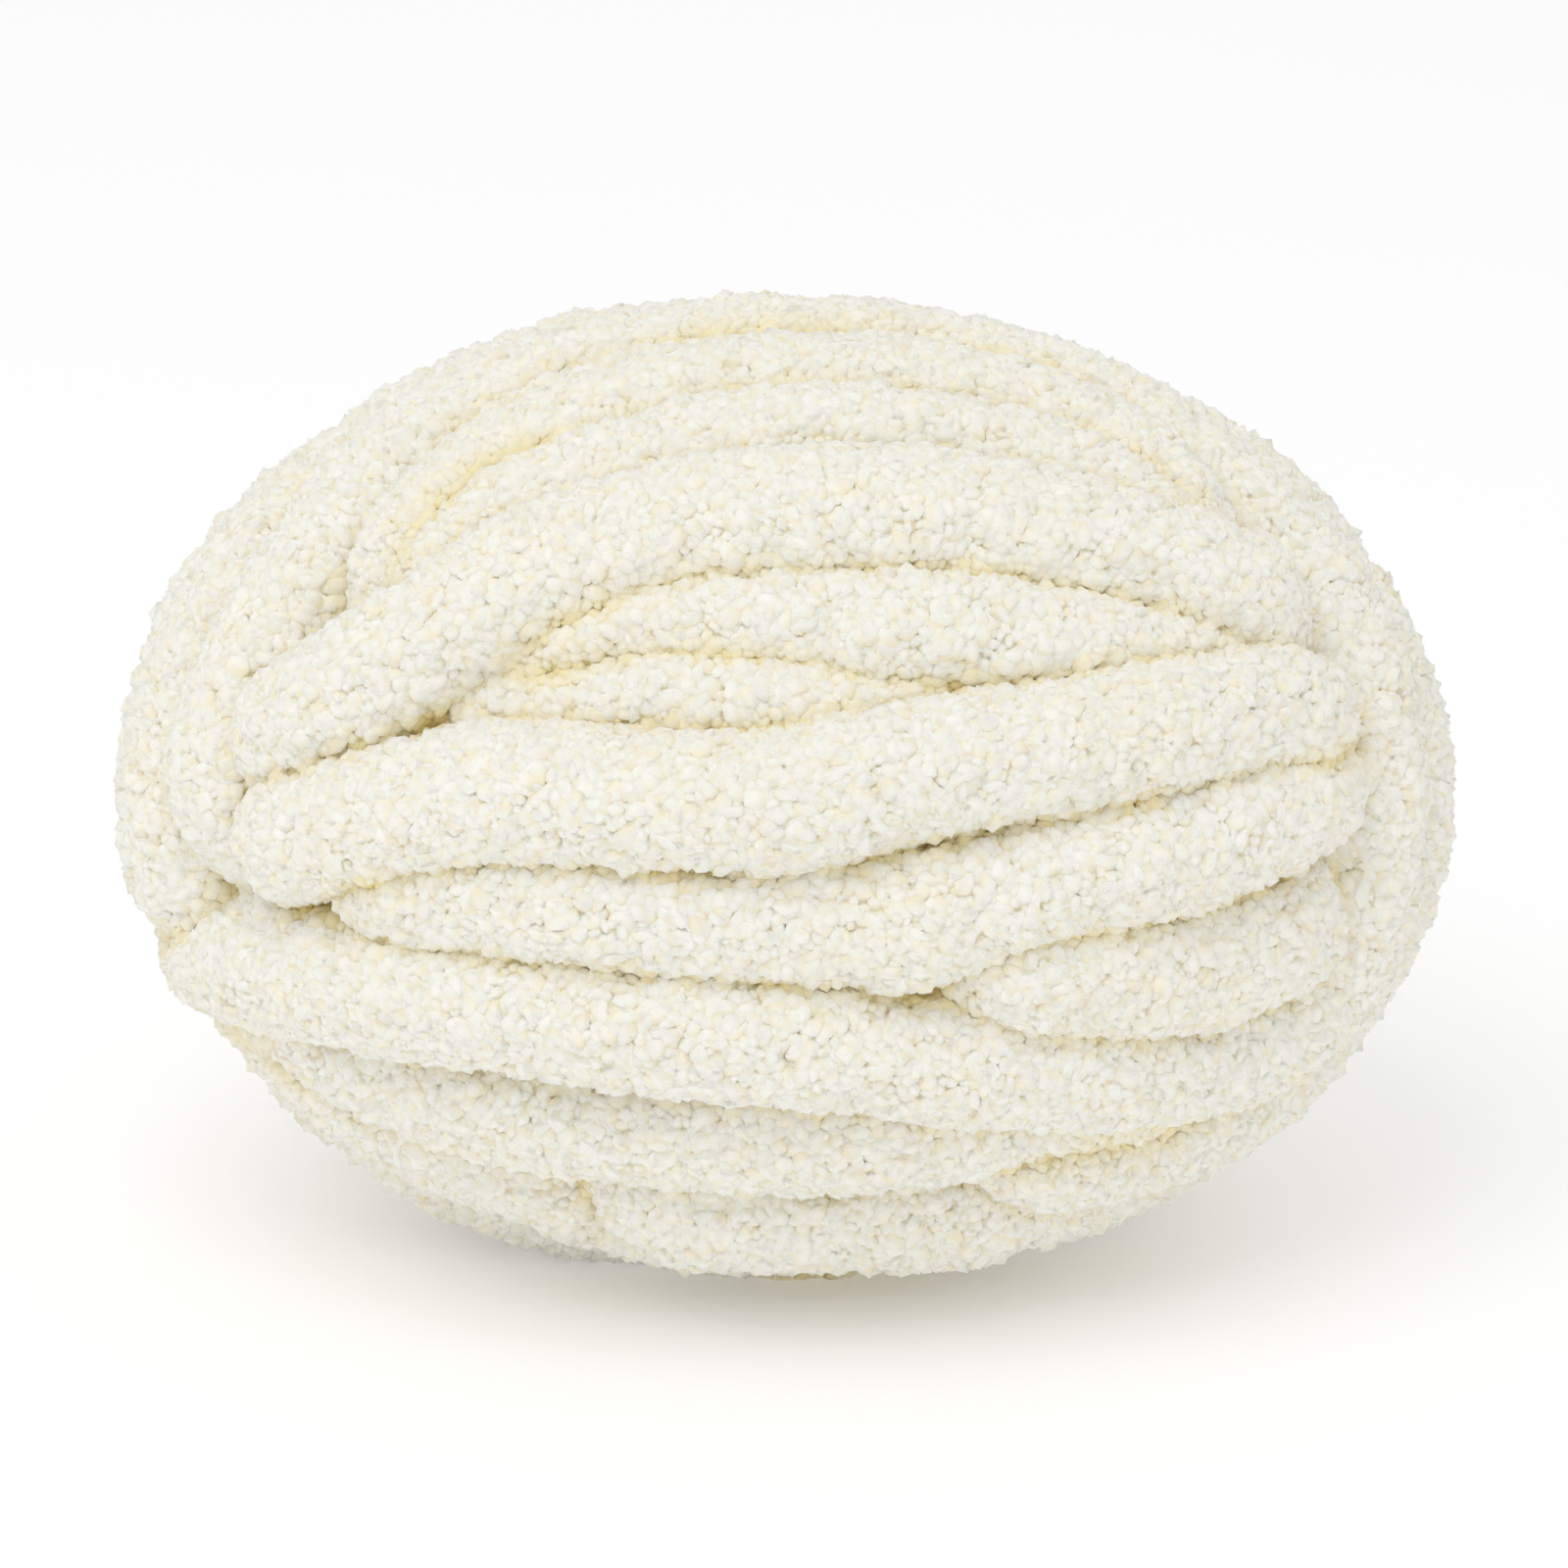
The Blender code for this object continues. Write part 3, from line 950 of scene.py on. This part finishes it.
# The grain of the fibres, and how far it stands up.
FIBRES_PER_METRE = 1100.0
FIBRE_STRENGTH = 0.45
FIBRE_HEIGHT = 0.0008

# The two shades of the board, and the light that it gives back by itself.
BOARD_COOL = (0.90, 0.90, 0.905, 1)
BOARD_PALE = (0.92, 0.92, 0.92, 1)
BOARD_GLOW = 0.15
BOARD_CLOUDS_PER_METRE = 2.0


def new_material(name):
    """A material with only a Principled shader, and its tree."""
    material = bpy.data.materials.new(name)
    material.use_nodes = True
    return material, material.node_tree, material.node_tree.nodes["Principled BSDF"]


def mix_colours(tree, share, low, high):
    """The colour between two, by share."""
    return add_node(tree, "ShaderNodeMix", {0: share, 6: low, 7: high}, data_type="RGBA").outputs[2]


def read_attribute(tree, name):
    """A number stored on the mesh."""
    return add_node(tree, "ShaderNodeAttribute", attribute_name=name).outputs["Fac"]


def chenille(colours):
    """Matt cream chenille: pale tips, painted shade at roots, seams and creases, a fine fibre grain.
    """
    material, tree, shader = new_material("cream_chenille")
    place = add_node(tree, "ShaderNodeTexCoord").outputs["Object"]
    cloud = noise(tree, place, CLOUDS_PER_METRE, Detail=2.0)
    tip = in_range(tree, read_attribute(tree, "tip"), *TIP_RANGE)
    seam = in_range(tree, read_attribute(tree, "seam"), *SEAM_RANGE, 0.0, SEAM_SHADE_SHOWS)
    closed = in_range(tree, read_attribute(tree, "crease"), *CREASE_SHADE_RANGE)
    broken = in_range(tree, cloud, *THIN_CLOUD, THIN_SEAM_SHADE, 1.0)
    # Painted shade: the seams and closed-in creases between turns take the golden crease colour.
    crease = combined(tree, "MAXIMUM", combined(tree, "MULTIPLY", seam, broken), closed)
    warm = in_range(tree, cloud, *THICK_CLOUD, 0.0, THICK_WARMTH)
    outer = mix_colours(tree, warm, tuple(colours.tip), tuple(colours.patch))
    # Painted shade: the lower part of each tuft, and the bare skin, take the golden root colour.
    colour = mix_colours(tree, tip, tuple(colours.root), outer)
    colour = mix_colours(tree, crease, colour, tuple(colours.crease))
    level = in_range(tree, read_attribute(tree, "tint"), 0.0, 1.0, *TINT_RANGE)
    shaded = add_node(tree, "ShaderNodeVectorMath", {0: colour, "Scale": level}, operation="SCALE")
    tree.links.new(shaded.outputs[0], shader.inputs["Base Color"])
    fibre = noise(tree, place, FIBRES_PER_METRE, Detail=4.0, Roughness=0.7)
    bump = add_node(tree, "ShaderNodeBump", {
        "Strength": FIBRE_STRENGTH, "Distance": FIBRE_HEIGHT, "Height": fibre,
    })
    tree.links.new(bump.outputs[0], shader.inputs["Normal"])
    shader.inputs["Roughness"].default_value = 0.95
    shader.inputs["Specular IOR Level"].default_value = 0.15
    shader.inputs["Sheen Weight"].default_value = 0.25
    shader.inputs["Sheen Roughness"].default_value = 0.6
    return material


def pale_board():
    """The matt pale board that the ball lies on."""
    material, tree, shader = new_material("pale_board")
    place = add_node(tree, "ShaderNodeTexCoord").outputs["Object"]
    cloud = noise(tree, place, BOARD_CLOUDS_PER_METRE, Detail=2.0)
    colour = mix_colours(tree, cloud, BOARD_COOL, BOARD_PALE)
    tree.links.new(colour, shader.inputs["Base Color"])
    shader.inputs["Roughness"].default_value = 0.9
    shader.inputs["Specular IOR Level"].default_value = 0.1
    shader.inputs["Emission Color"].default_value = (1, 1, 1, 1)
    shader.inputs["Emission Strength"].default_value = BOARD_GLOW
    return material


# ---------------------------------------------------------------- operators


class YARN_OT_lay_stage(bpy.types.Operator):
    """Lays the floor, the lights and the camera"""

    bl_idname = "yarn.lay_stage"
    bl_label = "Lay stage"

    def execute(self, context):
        stage = context.scene.yarn_stage
        self.lay_floor(stage)
        self.hang_lights(context, stage)
        self.place_camera(context, stage)
        return {"FINISHED"}

    def lay_floor(self, stage):
        """The floor is a plain sheet under the ball."""
        half = stage.floor_size / 2
        mesh = bpy.data.meshes.new("floor")
        corners = [(-half, -half, 0), (half, -half, 0), (half, half, 0), (-half, half, 0)]
        mesh.from_pydata(corners, [], [(0, 1, 2, 3)])
        mesh.materials.append(pale_board())
        link_new("floor", mesh)

    def hang_lights(self, context, stage):
        """One large soft light at the upper left, and an even pale surround."""
        light = bpy.data.lights.new("key_light", "AREA")
        light.shape = "DISK"
        light.size = KEY_WIDTH
        light.energy = stage.key
        key = link_new("key_light", light)
        key.location = KEY_PLACE
        aim = Vector((0, 0, stage.camera_aim)) - key.location
        key.rotation_euler = aim.to_track_quat("-Z", "Y").to_euler()
        world = bpy.data.worlds.new("surround")
        world.use_nodes = True
        surround = world.node_tree.nodes["Background"].inputs
        surround["Color"].default_value = (1, 1, 1, 1)
        surround["Strength"].default_value = stage.sky
        context.scene.world = world
        context.scene.view_settings.view_transform = "Standard"

    def place_camera(self, context, stage):
        """The camera looks down a little at the face with the long turns."""
        lens = bpy.data.cameras.new("camera")
        lens.lens = stage.lens
        camera = link_new("camera", lens)
        aim = Vector((0, 0, stage.camera_aim))
        back = Vector((0, -math.cos(stage.camera_elevation), math.sin(stage.camera_elevation)))
        camera.location = aim + back * stage.camera_distance
        camera.rotation_euler = (-back).to_track_quat("-Z", "Y").to_euler()
        context.scene.camera = camera


class YARN_OT_wind_ball(bpy.types.Operator):
    """Winds the turns of yarn into one fused body"""

    bl_idname = "yarn.wind_ball"
    bl_label = "Wind ball"

    def execute(self, context):
        winding, pile = context.scene.yarn_winding, context.scene.yarn_pile
        strands = laid_turns(winding)
        core_radius = winding.yarn_diameter / 2 - pile.height + winding.squeeze
        ball = bundled(winding, pile, strands, core_radius)
        fuse_turns(ball, winding)
        press_flat(ball, winding)
        draw_in_seams(ball, strands, core_radius, winding)
        even_out(ball, SEAMED_ROUNDS)
        settle_mesh(ball)
        stand_in_frame(ball)
        store_creases(ball, winding.crease_reach)
        ball.data.materials.clear()
        ball.data.materials.append(chenille(context.scene.yarn_colours))
        ball.data.shade_smooth()
        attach(ball, BODY)
        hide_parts(BALL_NODE)
        return {"FINISHED"}


class YARN_OT_grow_pile(bpy.types.Operator):
    """Grows the chenille pile on the wound yarn, in several pieces along the ball"""

    bl_idname = "yarn.grow_pile"
    bl_label = "Grow pile"

    def execute(self, context):
        pile = context.scene.yarn_pile
        skin = bpy.data.objects["wound_yarn"].data
        shapes, tree = tuft_shapes(pile), pile_tree()
        edges = slab_edges(skin, pile.pieces)
        for number, (start, end) in enumerate(zip(edges, edges[1:]), 1):
            piece = link_new(f"chenille_pile_{number}", skin.copy())
            add_tree(
                piece, tree, tufts=shapes, spacing=pile.spacing,
                least_width=pile.tuft_width * (1 - pile.width_spread),
                most_width=pile.tuft_width * (1 + pile.width_spread),
                lean=pile.lean, lift=pile.height - pile.tuft_width * TUFT_REACH,
                floor=ROOT_CLEARANCE, seed=pile.seed, softness=pile.softness,
                material=skin.materials[0], **{"from": start, "to": end},
            )
            settle_mesh(piece)
            if not piece.data.polygons:
                raise RuntimeError(f"{piece.name} has no tufts")
            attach(piece, BODY)
            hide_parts(BALL_NODE)
        remove(*shapes.objects)
        bpy.data.collections.remove(shapes)
        return {"FINISHED"}


class YARN_PT_yarn_ball(bpy.types.Panel):
    """The yarn ball's steps and sizes"""

    bl_label = "Yarn Ball"
    bl_idname = "YARN_PT_yarn_ball"
    bl_space_type = "VIEW_3D"
    bl_region_type = "UI"
    bl_category = "Yarn Ball"

    def draw(self, context):
        for operator in OPERATORS:
            self.layout.operator(operator.bl_idname)
        for name in SETTINGS:
            settings = getattr(context.scene, name)
            box = self.layout.box()
            for key in settings.bl_rna.properties.keys():
                if key not in ("rna_type", "name"):
                    box.prop(settings, key)


OPERATORS = (YARN_OT_lay_stage, YARN_OT_wind_ball, YARN_OT_grow_pile)
SETTINGS = {
    "yarn_stage": StageSettings,
    "yarn_winding": WindingSizes,
    "yarn_pile": PileSizes,
    "yarn_colours": YarnColours,
}
CLASSES = (*SETTINGS.values(), *OPERATORS, YARN_PT_yarn_ball)


def register():
    """Registers the settings, the steps and the panel."""
    for cls in CLASSES:
        bpy.utils.register_class(cls)
    for name, settings in SETTINGS.items():
        setattr(bpy.types.Scene, name, PointerProperty(type=settings))


def unregister():
    """Takes them off again."""
    for name in SETTINGS:
        delattr(bpy.types.Scene, name)
    for cls in reversed(CLASSES):
        bpy.utils.unregister_class(cls)


def main():
    """Makes the stage, the wound yarn and its pile."""
    register()
    bpy.ops.yarn.lay_stage()
    bpy.ops.yarn.wind_ball()
    bpy.ops.yarn.grow_pile()


if __name__ == "__main__":
    main()
